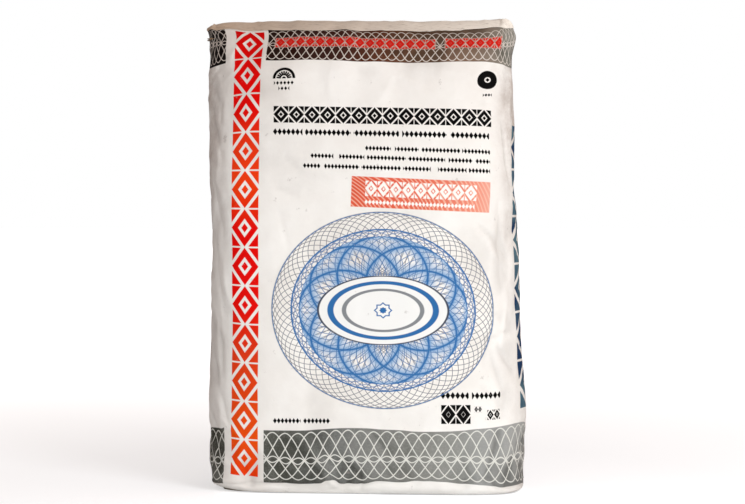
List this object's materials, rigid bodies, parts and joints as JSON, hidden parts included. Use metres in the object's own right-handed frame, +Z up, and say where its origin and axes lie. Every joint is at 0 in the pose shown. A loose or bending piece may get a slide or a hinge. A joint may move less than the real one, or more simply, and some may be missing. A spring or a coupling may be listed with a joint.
{
  "type": "filled cement bag",
  "caption": "Upright filled paper valve sack of cement with pasted block ends and a printed front; stands on its flat bottom.",
  "frame": {"origin": "on the floor, under the centre of the bag's box", "axes": "+Z up to the ridge of the top end, printed front faces -Y, valve corner at -X"},
  "size_m": [0.42, 0.161, 0.6148],
  "materials": {
    "printed_kraft_paper": "satin",
    "cement": "matte",
    "plain_paper": "matte",
    "sole_paper": "matte",
    "brown_kraft_paper": "matte"
  },
  "bodies": {
    "root": {"paper_sack": "printed_kraft_paper", "cement_fill": "cement", "top_cover_sheet": "plain_paper", "bottom_cover_sheet": "sole_paper", "valve_sleeve": "brown_kraft_paper"}
  },
  "joints": []
}
